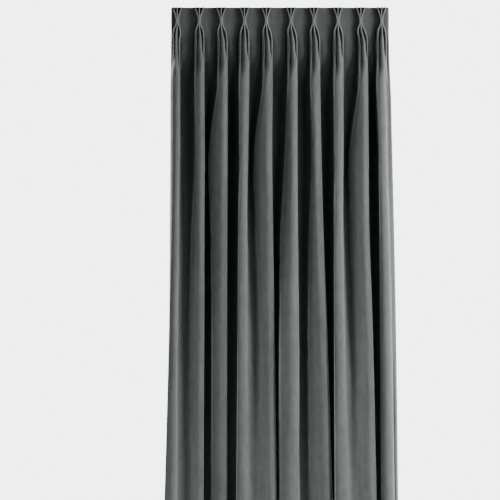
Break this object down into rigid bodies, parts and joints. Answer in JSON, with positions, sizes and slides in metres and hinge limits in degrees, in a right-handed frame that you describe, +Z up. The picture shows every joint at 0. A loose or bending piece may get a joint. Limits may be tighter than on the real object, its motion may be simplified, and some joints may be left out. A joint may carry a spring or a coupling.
{
  "type": "velvet curtain with a pinch-pleated heading",
  "caption": "Floor-length velvet curtain panel with a triple pinch-pleated heading, hanging in deep uneven folds, to hang from a track or rod.",
  "frame": {"origin": "middle of the curtain's top edge, in the plane of the flat spaces between its pleats", "axes": "+Z up, +X to the right across the curtain seen from the room, and the front of the curtain faces -Y"},
  "size_m": [1.1742, 0.109, 2.6002],
  "materials": {
    "velvet": "soft matt charcoal pile with a pale sheen where it turns away"
  },
  "bodies": {
    "root": {"velvet_panel": "velvet"}
  },
  "joints": []
}
